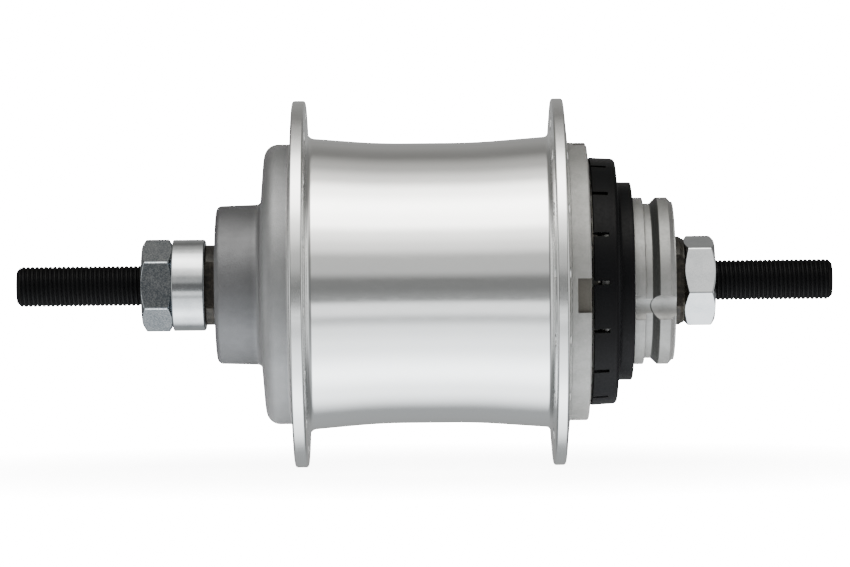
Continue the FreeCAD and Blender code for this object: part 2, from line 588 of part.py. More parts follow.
def wire_groove(body, name, start, middle, pivot, outside):
    """Groove round a turned body for the pawl spring, as deep as the top of the heels."""
    doc.recompute()
    sketch = sketch_on(body, name + "_sketch", "XZ_Plane")
    rows = [(middle + " - wire_rad - wire_room", pivot + " + pawl_heel"),
            (middle + " - wire_rad - wire_room", outside + " + 1.0"),
            (middle + " + wire_rad + wire_room", outside + " + 1.0"),
            (middle + " + wire_rad + wire_room", pivot + " + pawl_heel")]
    spots = []
    for x_text, y_text in rows:
        text = "(%s) - (%s)" % (bound(x_text), bound(start))
        spots.append((text, bound(y_text), value(x_text) - value(start), value(y_text), 0.0))
    outline(sketch, spots)
    cut = body.newObject("PartDesign::Groove", name)
    cut.Profile = sketch
    cut.ReferenceAxis = (sketch, ["H_Axis"])
    cut.Angle = 360
    body.Tip = cut


wire_groove(carrier, "low_wire_groove", "carrier_left", "lo_middle", "lo_pivot", "carrier_rad")
doc.recompute()
dog_sketch = sketch_on(carrier, "dog_sketch", "YZ_Plane", "driver_left - carrier_left")
outline(dog_sketch, dog_spots("0.0"))
dog = carrier.newObject("PartDesign::Pad", "dog")
dog.Profile = dog_sketch
dog.Length = value("dog_right - driver_left")
dog.setExpression("Length", bound("dog_right - driver_left"))
dog_ring = carrier.newObject("PartDesign::PolarPattern", "dog_ring")
dog_ring.Originals = [dog]
dog_ring.Axis = (origin_feature(carrier, "X_Axis"), [""])
dog_ring.Angle = 360
dog_ring.setExpression("Occurrences", bound("dogs"))
carrier.Tip = dog_ring

pins = Part.makeCompound([
    disc(size("pin_rad"), 0.0, size("pin_right") - size("pin_left"),
         *spun((size("planet_circle"), 0.0), 90.0 * k)) for k in range(4)])
coded("planet_pins", pins, "pin_left")

# ---- gears -------------------------------------------------------------------------------


def gear_outline(teeth, internal):
    """Involute outline with a tooth centred on +Y.  An internal gear gives the outline of
    the hole, so its teeth are the spaces of the outline."""
    pitch = size("gear_mod") * teeth / 2.0
    base = pitch * math.cos(math.radians(size("press_ang")))
    tip = pitch + size("gear_mod") * (1.22 if internal else 1.0)
    root = pitch - size("gear_mod") * (0.95 if internal else 1.22)
    thin = size("backlash") / 2.0 / pitch
    spread = math.tan(math.radians(size("press_ang"))) - math.radians(size("press_ang"))
    half = math.pi / 2.0 / teeth + (thin / 2.0 if internal else -thin / 2.0)
    flank = []
    for step in range(4):
        radius = max(base, root) + (tip - max(base, root)) * step / 3.0
        roll = math.acos(min(1.0, base / radius))
        flank.append((radius, half + spread - (math.tan(roll) - roll)))
    if root < base:
        flank.insert(0, (root, flank[0][1]))
    shift = math.pi / teeth if internal else 0.0
    points = []
    for k in range(teeth):
        middle = 2.0 * math.pi * k / teeth + shift
        points += [(r, middle - a) for r, a in flank]
        points += [(r, middle + a) for r, a in reversed(flank)]
    return [(r * math.cos(a), r * math.sin(a)) for r, a in points]


GEAR_WIDE = size("gear_right") - size("gear_left")
sun_blank = prism(gear_outline(int(size("sun_teeth")), False), 0.0, GEAR_WIDE)
coded("sun_gear", sun_blank.cut(disc(size("axle_mid_rad"), -PAST, GEAR_WIDE + PAST)), "gear_left")

planet_blank = prism(gear_outline(int(size("planet_teeth")), False), 0.0, GEAR_WIDE)
pin_hole = disc(size("pin_rad") + size("pin_fit"), -PAST, GEAR_WIDE + PAST)
planet_turned = planet_blank.cut(pin_hole)
half_tooth = 180.0 / size("planet_teeth")
for k in range(4):
    centre = spun((size("planet_circle"), 0.0), 90.0 * k)
    coded("planet_gear_%d" % (k + 1), planet_turned.copy(), "gear_left",
          90.0 * k + half_tooth, centre)

ring_web = size("annulus_web") - size("annulus_left")
annulus = disc(size("annulus_rad"), 0.0, size("annulus_web_right") - size("annulus_left"))
annulus = annulus.fuse(disc(size("tail_rad"), 0.0, size("annulus_tail") - size("annulus_left")))
annulus = annulus.fuse(disc(size("spigot_rad"), 0.0, size("spigot_right") - size("annulus_left")))
annulus = annulus.cut(prism(gear_outline(int(size("annulus_teeth")), True), -PAST, ring_web))
annulus = annulus.cut(disc(size("tail_bore"), -PAST, THROUGH))
hi_middle = (size("hi_left") + size("hi_right")) / 2.0 - size("annulus_left")
wire_half = size("wire_rad") + size("wire_room")
wire_floor = size("hi_pivot") + size("pawl_heel")
groove = disc(size("tail_rad") + PAST, hi_middle - wire_half, hi_middle + wire_half)
annulus = annulus.cut(groove.cut(disc(wire_floor, 0.0, THROUGH)))
bed_left = size("hi_left") - size("bed_side") - size("annulus_left")
bed_right = size("annulus_tail") - size("annulus_left")
reach, heel = size("pawl_reach"), size("pawl_heel")
for turn in (0.0, 180.0):
    seat = disc(heel + size("pawl_fit"), bed_left, bed_right, 0.0, size("hi_pivot"))
    low = size("hi_pivot") - heel - size("bed_under")
    high = size("hi_pivot") + size("bed_open")
    end = size("bed_end")
    room = prism([(0.0, low), (reach + end, low), (reach + end, high), (-end, high),
                  (-end, size("hi_pivot") + size("bed_lip"))], bed_left, bed_right)
    bed = seat.fuse(room)
    bed.rotate(V(0, 0, 0), V(1, 0, 0), turn)
    annulus = annulus.cut(bed)
coded("ring_gear", annulus.removeSplitter(), "annulus_left")

# ---- pawls, springs, shift ring ----------------------------------------------------------


def pawl_shape(kind, lug):
    """Pawl about its own pivot, folded: round heel, forked arm, undercut nose."""
    pivot = size(kind + "_pivot")
    nose = (reach, math.sqrt(size(kind + "_fold") ** 2 - reach ** 2) - pivot)
    chin = (reach, nose[1] - size("pawl_nose"))
    wide = size(kind + "_right") - size(kind + "_left")
    arm = prism([(0.3, -heel + 0.04), (2.4, -heel), chin, nose, (0.5, heel - 0.08)], 0.0, wide)
    shape = disc(heel, 0.0, wide).fuse(arm)
    middle = wide / 2.0
    fork = size("wire_slot") / 2.0
    slot = Part.makeBox(2.0 * fork, 12.0, 12.0, V(middle - fork, 1.0, -6.0))
    step = disc(heel + 6.0, middle - fork, middle + fork).cut(
        disc(heel, middle - fork, middle + fork))
    shape = shape.cut(slot).cut(step)
    if lug:
        shape = shape.fuse(disc(size("lug_rad"), wide - 0.5, size("lug_right") - size("hi_left"),
                                size("lug_reach"), size("lug_rise")))
    return shape


low_pawl = pawl_shape("lo", False)
ring_pawl = pawl_shape("hi", True)
for k, turn in enumerate((0.0, 180.0), start=1):
    coded("low_pawl_%d" % k, low_pawl.copy(), "lo_left", turn,
          spun((0.0, size("lo_pivot")), turn))
    coded("ring_pawl_%d" % k, ring_pawl.copy(), "hi_left", turn + size("pawl_swing"),
          spun((0.0, size("hi_pivot")), turn))


def open_ring(wire, circle, start, station=0.0):
    """Round wire bent to a circle about X, with a gap; it starts at an angle round the hub."""
    y, z = around(circle, start)
    section = Part.makeCircle(wire, V(station, y, z), V(0, z, -y))
    face = Part.Face(Part.Wire(section))
    return face.revolve(V(0, 0, 0), V(1, 0, 0), 360.0 - size("wire_gap"))


for name, kind, middle in (("low_pawl_spring", "lo", "lo_middle"),
                           ("ring_pawl_spring", "hi", "hi_middle")):
    circle = size(kind + "_pivot") + heel + size("wire_rad") + 0.03
    coded(name, open_ring(size("wire_rad"), circle, 80.0), middle)


def lug_track():
    """Path of a pawl lug as the shift ring turns, seen from the ring: (y, z) points."""
    track = []
    for step in range(-1, 14):
        share = step / 12.0
        arm = spun((size("lug_reach"), size("lug_rise")), size("pawl_swing") * (1.0 - share))
        point = (arm[0], arm[1] + size("hi_pivot"))
        track.append(spun(point, size("shift_turn") * share))
    return track


shift_wide = size("shift_right") - size("shift_left")
shift = disc(size("shift_rad"), 0.0, shift_wide)
shift = shift.cut(disc(size("shift_bore"), -PAST, THROUGH))
track = lug_track()
width = size("lug_rad") + size("lug_fit")
slot = disc(width, -PAST, THROUGH, *track[1]).fuse(disc(width, -PAST, THROUGH, *track[-2]))
sides = ([], [])
for before, after, point in zip(track, track[2:], track[1:-1]):
    run = (after[0] - before[0], after[1] - before[1])
    long = math.hypot(*run)
    across = (-run[1] / long * width, run[0] / long * width)
    sides[0].append((point[0] + across[0], point[1] + across[1]))
    sides[1].insert(0, (point[0] - across[0], point[1] - across[1]))
slot = slot.fuse(prism(sides[0] + sides[1], -PAST, THROUGH))
for turn in (0.0, 180.0):
    window = slot.copy()
    window.rotate(V(0, 0, 0), V(1, 0, 0), turn)
    shift = shift.cut(window)
tang_at = around(size("drag_circle"), size("drag_tang"))
shift = shift.cut(disc(size("drag_wire"), -PAST, THROUGH, *tang_at))
coded("shift_ring", shift, "shift_left")

tang_long = size("drag_station") - size("shift_left")
drag = open_ring(size("drag_wire"), size("drag_circle"), size("drag_tang"), tang_long)
drag = drag.fuse(disc(size("drag_wire"), 0.0, tang_long, *tang_at))
coded("shift_spring", drag, "shift_left")

# ---- ball bearings -----------------------------------------------------------------------


def bearing(tag, balls_name, cage_name):
    """Balls on a circle and the cage that spaces them, about the bearing's own centre."""
    circle, ball = size(tag + "_circle"), size(tag + "_ball")
    count = int(size(tag + "_balls"))
    groove = size(tag + "_groove")
    left, right = size(tag + "_cage_left"), size(tag + "_cage_right")
    centres = [spun((circle, 0.0), 360.0 * k / count) for k in range(count)]
    coded(balls_name, Part.makeCompound([Part.makeSphere(ball, V(0, y, z)) for y, z in centres]),
          tag + "_station")
    band = disc(size(tag + "_cage_out"), left, right)
    band = band.cut(disc(size(tag + "_cage_in"), left - PAST, right + PAST))
    for y, z in centres:
        band = band.cut(disc(groove, max(left - PAST, -groove), min(right + PAST, groove), y, z))
    coded(cage_name, band, tag + "_station")


bearing("lb", "left_balls", "left_ball_cage")
bearing("mb", "main_balls", "main_ball_cage")
bearing("db", "driver_balls", "driver_ball_cage")

# ---- check and write ---------------------------------------------------------------------

doc.recompute()

parts = [item for item in doc.Objects if item.isDerivedFrom("PartDesign::Body")
         or item.TypeId == "Part::Feature"]
for item in doc.Objects:
    if "Invalid" in item.State or "Error" in item.State:
        raise RuntimeError("%s: %s" % (item.Name, item.State))
for item in parts:
    if item.Shape.isNull() or not item.Shape.isValid() or not item.Shape.Solids:
        raise RuntimeError("%s has no valid solid" % item.Label)

os.makedirs("parts", exist_ok=True)
for item in parts:
    item.Shape.exportStep(os.path.join("parts", item.Label + ".step"))
    box = item.Shape.BoundBox
    print("%-20s x %8.2f %8.2f  r %6.2f  %9.1f mm3  %d" % (
        item.Label, box.XMin, box.XMax, max(box.YMax, box.ZMax), item.Shape.Volume,
        len(item.Shape.Solids)))
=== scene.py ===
"""Looks of the hub gear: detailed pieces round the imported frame, materials, studio and camera.

Lengths in the tables below are millimetres along the axle (x) and from it (r), and the mesh
builders turn them into metres.  Angles "round the hub" run from +Z towards +Y, in degrees.
"""
import json
import math

import bmesh
import bpy
from mathutils import Matrix, Vector


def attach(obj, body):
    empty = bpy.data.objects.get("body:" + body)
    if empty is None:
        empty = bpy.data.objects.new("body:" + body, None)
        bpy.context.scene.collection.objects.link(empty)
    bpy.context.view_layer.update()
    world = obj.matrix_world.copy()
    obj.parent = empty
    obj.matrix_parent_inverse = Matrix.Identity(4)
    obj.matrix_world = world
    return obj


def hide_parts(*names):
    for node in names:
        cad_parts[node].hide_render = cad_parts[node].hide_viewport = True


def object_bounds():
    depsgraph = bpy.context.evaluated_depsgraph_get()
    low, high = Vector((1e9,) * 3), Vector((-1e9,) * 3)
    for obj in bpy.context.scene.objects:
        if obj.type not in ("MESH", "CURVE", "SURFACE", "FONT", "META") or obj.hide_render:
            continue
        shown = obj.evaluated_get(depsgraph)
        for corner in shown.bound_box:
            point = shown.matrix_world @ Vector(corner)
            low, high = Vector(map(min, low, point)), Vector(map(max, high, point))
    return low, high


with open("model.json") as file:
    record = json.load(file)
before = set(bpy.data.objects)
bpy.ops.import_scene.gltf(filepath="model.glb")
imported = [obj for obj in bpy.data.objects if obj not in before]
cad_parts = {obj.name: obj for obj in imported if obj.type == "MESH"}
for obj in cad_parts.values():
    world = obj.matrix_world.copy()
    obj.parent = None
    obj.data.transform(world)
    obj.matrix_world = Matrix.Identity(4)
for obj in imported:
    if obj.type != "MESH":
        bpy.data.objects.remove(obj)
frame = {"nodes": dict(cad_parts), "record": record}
cad_low, cad_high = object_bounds()

MM = 0.001
ROUND_STEPS = 288   # sections round a turned piece
WELD = 2e-7         # metres; points closer than this become one
SLIVER = 1e-7       # metres; edges shorter than this are dissolved
HARD_EDGE = 32.0    # degrees; sharper edges stay hard


# ---- materials ---------------------------------------------------------------------------

# places where a finish changes, in metres: along the axle (x) or from it (r)
BLASTED_X = (-0.0328, -0.0316)      # left end of the shell, up to its flange
BOSS_X = (-0.0415, -0.0385)         # darker boss at the very end
FLANGE_R = (0.0352, 0.0368)         # turned flanges start here
SPECKLED_X = (-0.0605, -0.0601)     # left locknut, whose zinc is coarser
# painted shade: the ball ring's colour is darkened below this radius
NOTCH_FLOOR_R = 0.0321              # just over the floors of the wrench notches
# rising flank of the driver's clip groove, darkened there as painted shade: r = FLANK_FOOT +
# FLANK_RISE * x
FLANK_FOOT = -0.03154
FLANK_RISE = 0.953

ALLOY = (0.86, 0.86, 0.855)
OXIDE = (0.0016, 0.0016, 0.0018)
PLASTIC = (0.0022, 0.0022, 0.0025)
BALL_STEEL = (0.75, 0.75, 0.77)


def add(tree, kind, **settings):
    """New shader node with its settings."""
    made = tree.nodes.new(kind)
    for key, setting in settings.items():
        setattr(made, key, setting)
    return made


class Finish:
    """A material under construction: its node tree, shader and object coordinates."""

    def __init__(self, name, colour, metallic, roughness):
        self.material = bpy.data.materials.new(name)
        self.material.use_nodes = True
        self.tree = self.material.node_tree
        self.shader = self.tree.nodes["Principled BSDF"]
        self.shader.inputs["Metallic"].default_value = metallic
        self.place = self.node("ShaderNodeTexCoord").outputs["Object"]
        self.shader.inputs["Base Color"].default_value = (*colour, 1.0)
        self.shader.inputs["Roughness"].default_value = roughness
        self.height = None

    def node(self, kind, **settings):
        return add(self.tree, kind, **settings)

    def link(self, source, socket):
        self.tree.links.new(source, socket)

    def scaled(self, scale):
        """Object coordinates stretched by a scale for each axis."""
        mapping = self.node("ShaderNodeMapping")
        mapping.inputs["Scale"].default_value = scale
        self.link(self.place, mapping.inputs["Vector"])
        return mapping.outputs["Vector"]

    def noise(self, scale, detail=4.0, rough=0.6, stretch=None):
        """Noise value from 0 to 1; scale is in lumps per metre."""
        made = self.node("ShaderNodeTexNoise")
        made.inputs["Scale"].default_value = scale
        made.inputs["Detail"].default_value = detail
        made.inputs["Roughness"].default_value = rough
        self.link(self.scaled(stretch) if stretch else self.place, made.inputs["Vector"])
        return made.outputs["Fac"]

    def hub_coordinates(self):
        """Distance along the axle and distance from it, in metres."""
        split = self.node("ShaderNodeSeparateXYZ")
        self.link(self.place, split.inputs[0])
        flat = self.node("ShaderNodeCombineXYZ")
        self.link(split.outputs["Y"], flat.inputs["Y"])
        self.link(split.outputs["Z"], flat.inputs["Z"])
        length = self.node("ShaderNodeVectorMath", operation="LENGTH")
        self.link(flat.outputs[0], length.inputs[0])
        return split.outputs["X"], length.outputs["Value"]

    def math(self, operation, first, second=0.0):
        made = self.node("ShaderNodeMath", operation=operation)
        for socket, source in zip(made.inputs, (first, second)):
            if isinstance(source, (int, float)):
                socket.default_value = source
            else:
                self.link(source, socket)
        return made.outputs[0]

    def ramp(self, source, low, high, first, last):
        """Maps source from low..high to first..last, with soft ends."""
        made = self.node("ShaderNodeMapRange", interpolation_type="SMOOTHSTEP")
        for name, number in (("From Min", low), ("From Max", high),
                             ("To Min", first), ("To Max", last)):
            made.inputs[name].default_value = number
        self.link(source, made.inputs["Value"])
        return made.outputs["Result"]

    def mix(self, factor, first, last, **settings):
        """Blend of two colours, each an RGB tuple or the output of another node."""
        made = self.node("ShaderNodeMix", data_type="RGBA", **settings)
        self.link(factor, made.inputs["Factor"])
        for name, colour in (("A", first), ("B", last)):
            if isinstance(colour, tuple):
                made.inputs[name].default_value = (*colour, 1.0)
            else:
                self.link(colour, made.inputs[name])
        return made.outputs["Result"]

    def paint(self, source):
        self.link(source, self.shader.inputs["Base Color"])

    def rough(self, source):
        self.link(source, self.shader.inputs["Roughness"])

    def bump(self, source, depth):
        """Adds relief; depth is in metres."""
        made = self.node("ShaderNodeBump")
        made.inputs["Distance"].default_value = depth
        made.inputs["Strength"].default_value = 1.0
        self.link(source, made.inputs["Height"])
        if self.height is not None:
            self.link(self.height, made.inputs["Normal"])
        self.height = made.outputs["Normal"]
        self.link(self.height, self.shader.inputs["Normal"])

    def rings(self, scale, detail):
        """Noise in uneven rings round the axle; scale is in rings per metre."""
        along, out = self.hub_coordinates()
        both = self.node("ShaderNodeCombineXYZ")
        self.link(along, both.inputs["X"])
        self.link(out, both.inputs["Y"])
        made = self.node("ShaderNodeTexNoise")
        made.inputs["Scale"].default_value = scale
        made.inputs["Detail"].default_value = detail
        self.link(both.outputs[0], made.inputs["Vector"])
        return made.outputs["Fac"]

    def turned(self, pitch, depth):
        """Lathe marks, on the end faces too; pitch and depth are in metres."""
        self.bump(self.rings(1.0 / pitch, 3.0), depth)

    def edges(self, low, high, first, last):
        """Value that changes on worn outside edges."""
        shape = self.node("ShaderNodeNewGeometry")
        return self.ramp(shape.outputs["Pointiness"], low, high, first, last)


def black_oxide(name, roughness):
    """Oiled black steel, rubbed to metal on its highest edges."""
    look = Finish(name, OXIDE, 0.0, roughness)
    look.shader.inputs["Specular IOR Level"].default_value = 0.05
    worn = look.edges(0.52, 0.62, 0.0, 1.0)
    patch = look.noise(900.0, 5.0)
    mask = look.math("MULTIPLY", worn, look.ramp(patch, 0.3, 0.8, 0.2, 0.5))
    look.paint(look.mix(mask, OXIDE, (0.022, 0.021, 0.02)))
    look.rough(look.ramp(look.noise(2200.0), 0.3, 0.7, roughness - 0.08, roughness + 0.1))
    look.bump(look.noise(9000.0, 3.0), 0.000003)
    return look.material


def brown_oxide(name):
    """Black-brown heat-treated steel of the cones."""
    look = Finish(name, (0.02, 0.017, 0.014), 0.3, 0.4)
    look.shader.inputs["Specular IOR Level"].default_value = 0.25
    patchy = look.ramp(look.noise(700.0, 6.0), 0.35, 0.7, 0.0, 1.0)
    look.paint(look.mix(patchy, (0.007, 0.006, 0.005), (0.024, 0.021, 0.016)))
    look.rough(look.ramp(look.noise(3000.0), 0.3, 0.7, 0.32, 0.5))
    look.turned(0.00018, 0.000006)
    return look.material


def zinc(name, tone, speckle):
    """Bright zinc plate: cloudy tint and small dull spots, strong on the left locknut only."""
    look = Finish(name, tone, 1.0, 0.12)
    dark = tuple(c * f for c, f in zip(tone, (0.40, 0.44, 0.48)))
    along, _ = look.hub_coordinates()
    cloud = look.ramp(look.noise(260.0, 5.0), 0.35, 0.68, 0.0, 0.2)
    spots = look.ramp(look.noise(3200.0, 4.0, 0.75), 0.40, 0.60, 0.05, 0.95)
    spots = look.math("MULTIPLY", spots, look.ramp(along, *SPECKLED_X, 1.0, 0.15))
    look.paint(look.mix(look.math("ADD", cloud, spots), tone, dark))
    look.rough(look.ramp(look.noise(1500.0, 6.0), 0.3, 0.7, 0.08, 0.16))
    look.bump(look.noise(3800.0, 4.0, 0.7), speckle)
    return look.material


def shell_metal():
    """One casting with three finishes: polished barrel, turned flanges, blasted left end."""
    look = Finish("shell_alloy_finish", ALLOY, 1.0, 0.1)
    along, out = look.hub_coordinates()
    blasted = look.ramp(along, *BLASTED_X, 1.0, 0.0)
    boss = look.ramp(along, *BOSS_X, 1.0, 0.0)
    flange = look.ramp(out, *FLANGE_R, 0.0, 1.0)
    grain = look.noise(2600.0, 5.0, 0.65)
    mottle = look.ramp(look.noise(120.0, 4.0), 0.3, 0.7, 0.0, 0.35)
    cast = look.math("ADD", look.math("MULTIPLY", grain, 0.35), mottle)
    bright = look.mix(flange, ALLOY, (0.78, 0.78, 0.775))
    dull = look.mix(cast, (0.18, 0.182, 0.186), (0.26, 0.263, 0.268))
    dull = look.mix(boss, dull, (0.52, 0.52, 0.53), blend_type="MULTIPLY")
    look.paint(look.mix(blasted, bright, dull))
    shine = look.ramp(look.noise(900.0, 6.0, 0.7, (0.35, 1.0, 1.0)), 0.3, 0.75, 0.07, 0.14)
    shine = look.math("ADD", shine, look.math("MULTIPLY", flange, 0.1))
    look.rough(look.math("ADD", shine, look.math("MULTIPLY", blasted, 0.42)))
    look.link(look.math("SUBTRACT", 1.0, look.math("MULTIPLY", blasted, 0.15)),
              look.shader.inputs["Metallic"])
    look.bump(look.math("MULTIPLY", grain, blasted), 0.00006)
    share = look.math("ADD", look.math("MULTIPLY", flange, 0.2), 0.15)
    look.bump(look.math("MULTIPLY", look.rings(5200.0, 2.0), share), 0.0000025)
    look.bump(look.noise(4200.0, 3.0, 0.6), 0.0000012)
    return look.material


def satin_nickel(name, tone, roughness, floor=0.0, painted_shade=(0.085, 0.08, 0.07)):
    """Satin plated steel with lathe marks, and painted shade (a darker, brownish colour) below the
    radius of a notch's floor or, without a floor, on the flank of the clip groove."""
    look = Finish(name, tone, 0.82, roughness)
    darker = tuple(c * 0.86 for c in tone)
    cloud = look.ramp(look.noise(300.0, 5.0), 0.3, 0.7, 0.0, 1.0)
    along, out = look.hub_coordinates()
    # painted shade: with a floor, the colour darkens below it; without one, it darkens on the clip
    # groove's flank
    if floor:
        shade_mask = look.ramp(out, floor, floor + 0.0004, 1.0, 0.0)
    else:
        flank = look.math("ADD", look.math("MULTIPLY", along, FLANK_RISE), FLANK_FOOT)
        off = look.math("ABSOLUTE", look.math("SUBTRACT", out, flank))
        shade_mask = look.ramp(off, 0.0001, 0.0002, 1.0, 0.0)
    look.paint(look.mix(shade_mask, look.mix(cloud, tone, darker), painted_shade))
    look.rough(look.ramp(look.noise(1800.0, 5.0), 0.3, 0.7, roughness - 0.06, roughness + 0.07))
    look.turned(0.00012, 0.000008)
    look.bump(look.noise(5200.0, 4.0, 0.7), 0.000008)
    return look.material


def black_plastic():
    """Moulded black plastic with a faint leathery surface and paler edges."""
    look = Finish("black_plastic_finish", PLASTIC, 0.0, 0.38)
    look.shader.inputs["Specular IOR Level"].default_value = 0.05
    rub = look.edges(0.53, 0.62, 0.0, 1.0)
    look.paint(look.mix(look.math("MULTIPLY", rub, 0.5), PLASTIC, (0.025, 0.025, 0.027)))
    look.rough(look.ramp(look.noise(1600.0, 4.0), 0.3, 0.7, 0.3, 0.45))
    look.bump(look.noise(3400.0, 5.0, 0.6), 0.000012)
    return look.material


def hardened(name, tone, roughness):
    """Ground, hardened steel with a film of oil."""
    look = Finish(name, tone, 1.0, roughness)
    warm = tuple(c * f for c, f in zip(tone, (0.92, 0.86, 0.76)))
    film = look.ramp(look.noise(220.0, 5.0), 0.4, 0.75, 0.0, 0.7)
    look.paint(look.mix(film, tone, warm))
    look.rough(look.ramp(look.noise(2400.0, 5.0), 0.3, 0.7, roughness - 0.05, roughness + 0.1))
    look.turned(0.00015, 0.000006)
    return look.material


def bright_balls():
    """Polished bearing balls under a thin smear of grease."""
    look = Finish("ball_steel_finish", BALL_STEEL, 1.0, 0.06)
    smear = look.ramp(look.noise(500.0, 5.0), 0.5, 0.7, 0.0, 1.0)
    look.paint(look.mix(smear, BALL_STEEL, (0.55, 0.50, 0.40)))
    look.rough(look.ramp(look.noise(500.0, 5.0), 0.5, 0.7, 0.05, 0.3))
    return look.material


FINISHES = {
    "axle_steel": black_oxide("axle_steel_finish", 0.42),
    "black_steel": brown_oxide("black_steel_finish"),
    "zinc_steel": zinc("zinc_steel_finish", (0.56, 0.57, 0.58), 0.000006),
    "shell_alloy": shell_metal(),
    # satin steel, with painted shade on the flank of the driver's clip groove
    "satin_steel": satin_nickel("satin_steel_finish", (0.215, 0.215, 0.21), 0.5,
                                painted_shade=(0.055, 0.057, 0.055)),
    "black_plastic": black_plastic(),
    "hard_steel": hardened("hard_steel_finish", (0.50, 0.50, 0.52), 0.3),
    # spring steel is darkened far below hard steel: partly dark oiled steel, partly painted shade
    # for the parts seen through the dust cap's slits
    "spring_steel": hardened("spring_steel_painted_shade_finish", (0.05, 0.048, 0.045), 0.35),
    "ball_steel": bright_balls(),
}

# ball ring satin, with painted shade below the notch floors
RING_FINISH = satin_nickel("ball_ring_finish", (0.25, 0.249, 0.242), 0.55, NOTCH_FLOOR_R)

# ---- mesh builders -----------------------------------------------------------------------

ROUNDING_REACH = 0.48   # share of a side that the rounding at one of its ends may take
ARC_STEP = 0.2          # radians, the longest step of a rounding


def arc(along, out, radius, first, last):
    """Points (x, r) of an arc; 0 degrees points along +x and 90 away from the axle."""
    steps = max(3, math.ceil(abs(last - first) / 10.0))
    spots = []
    for k in range(steps + 1):
        angle = math.radians(first + (last - first) * k / steps)
        spots.append((along + radius * math.cos(angle), out + radius * math.sin(angle)))
    return spots


def rounded(rows, steps=0):
    """Closed profile of (x, r) or (x, r, round) corners, the latter turned to arcs.

    With steps, every arc has that many steps, so profiles of different sizes match."""
    spots = []
    for k, row in enumerate(rows):
        here = Vector(row[:2])
        back = Vector(rows[k - 1][:2]) - here
        onward = Vector(rows[(k + 1) % len(rows)][:2]) - here
        if len(row) < 3 or min(back.length, onward.length) < 1e-6:
            spots += [tuple(here)] * (steps + 1 if len(row) > 2 and steps else 1)
            continue
        half = back.angle(onward) / 2.0
        room = ROUNDING_REACH * min(back.length, onward.length)
        reach = min(row[2] / math.tan(half), room)
        size = reach * math.tan(half)
        middle = (back.normalized() + onward.normalized()).normalized()
        centre = here + middle * size / math.sin(half)
        start = here + back.normalized() * reach - centre
        end = here + onward.normalized() * reach - centre
        turn = math.atan2(start.x * end.y - start.y * end.x, start.dot(end))
        count = steps or max(2, math.ceil(abs(turn) / ARC_STEP), math.ceil(size * abs(turn)))
        for step in range(count + 1):
            angle = turn * step / count
            spots.append((centre.x + start.x * math.cos(angle) - start.y * math.sin(angle),
                          centre.y + start.x * math.sin(angle) + start.y * math.cos(angle)))
    return spots


def around(extra=()):
    """Angles round the hub for the sections of a turned piece, with extra ones added."""
    even = [360.0 * k / ROUND_STEPS for k in range(ROUND_STEPS)]
    return sorted(set(even) | {round(angle % 360.0, 4) for angle in extra})


def spot(x, r, angle):
    """Point in metres of a place in millimetres and degrees."""
    turn = math.radians(angle)
    return (x * MM, r * math.sin(turn) * MM, r * math.cos(turn) * MM)


def clean(bm):
    """Joins points that meet and takes out edges without length."""
    bmesh.ops.remove_doubles(bm, verts=bm.verts, dist=WELD)
    bmesh.ops.dissolve_degenerate(bm, edges=bm.edges, dist=SLIVER)


def settle(name, bm, sharp):
    """Mesh object with clean seams, smooth shading and hard edges above an angle."""
    clean(bm)
    bmesh.ops.recalc_face_normals(bm, faces=bm.faces)
    mesh = bpy.data.meshes.new(name)
    bm.to_mesh(mesh)
    bm.free()
    mesh.shade_smooth()
    mesh.set_sharp_from_angle(angle=math.radians(sharp))
    piece = bpy.data.objects.new(name, mesh)
    bpy.context.collection.objects.link(piece)
    return piece


def weigh(piece):
    """Lets the large faces decide the shading, so narrow roundings read as roundings."""
    weighted = piece.modifiers.new("weighted", "WEIGHTED_NORMAL")
    weighted.keep_sharp = True
    return piece


def skin(bm, angles, sections):
    """Faces between closed sections (x, r) that stand at angles round the hub."""
    rings = [[bm.verts.new(spot(x, r, angle)) for x, r in section]
             for angle, section in zip(angles, sections)]
    for ring, after in zip(rings, rings[1:] + rings[:1]):
        for k, vert in enumerate(ring):
            bm.faces.new((ring[k - 1], vert, after[k], after[k - 1]))


def lathe(name, rows, limit=None, extra=()):
    """Turned piece; limit(x, angle) gives the largest radius that flats leave there."""
    bm = bmesh.new()
    angles = around(extra)
    profile = rounded(rows)
    sections = [profile] * len(angles)
    if limit:
        sections = [[(x, min(r, limit(x, angle))) for x, r in profile] for angle in angles]
    skin(bm, angles, sections)
    return settle(name, bm, HARD_EDGE)


def cutter_peg(bm, first, last, radius, circle, angle, steps):
    """Round cutter along the axle, with a radius for each end, on a circle round the axle."""
    at = Vector(spot((first + last) / 2.0, circle, angle))
    turn = Matrix.Rotation(math.radians(90.0), 4, "Y")
    bmesh.ops.create_cone(bm, cap_ends=True, segments=steps, radius1=radius[0] * MM,
                          radius2=radius[1] * MM, depth=(last - first) * MM,
                          matrix=Matrix.Translation(at) @ turn)


def cutter_prism(bm, first, last, corners):
    """Straight-sided cutter along the axle over corners (radius, angle)."""
    near = [bm.verts.new(spot(first, r, angle)) for r, angle in corners]
    far = [bm.verts.new(spot(last, r, angle)) for r, angle in corners]
    bm.faces.new(near)
    bm.faces.new(list(reversed(far)))
    for k in range(len(corners)):
        bm.faces.new((near[k], near[k - 1], far[k - 1], far[k]))


def cutter_block(bm, first, last, half, floor, top, angle):
    """Flat-floored cutter: half its width, its floor and its top, at an angle round the hub."""
    corners = []
    for side, height in ((-half, floor), (half, floor), (half, top), (-half, top)):
        corners.append((math.hypot(side, height), angle + math.degrees(math.atan2(side, height))))
    cutter_prism(bm, first, last, corners)


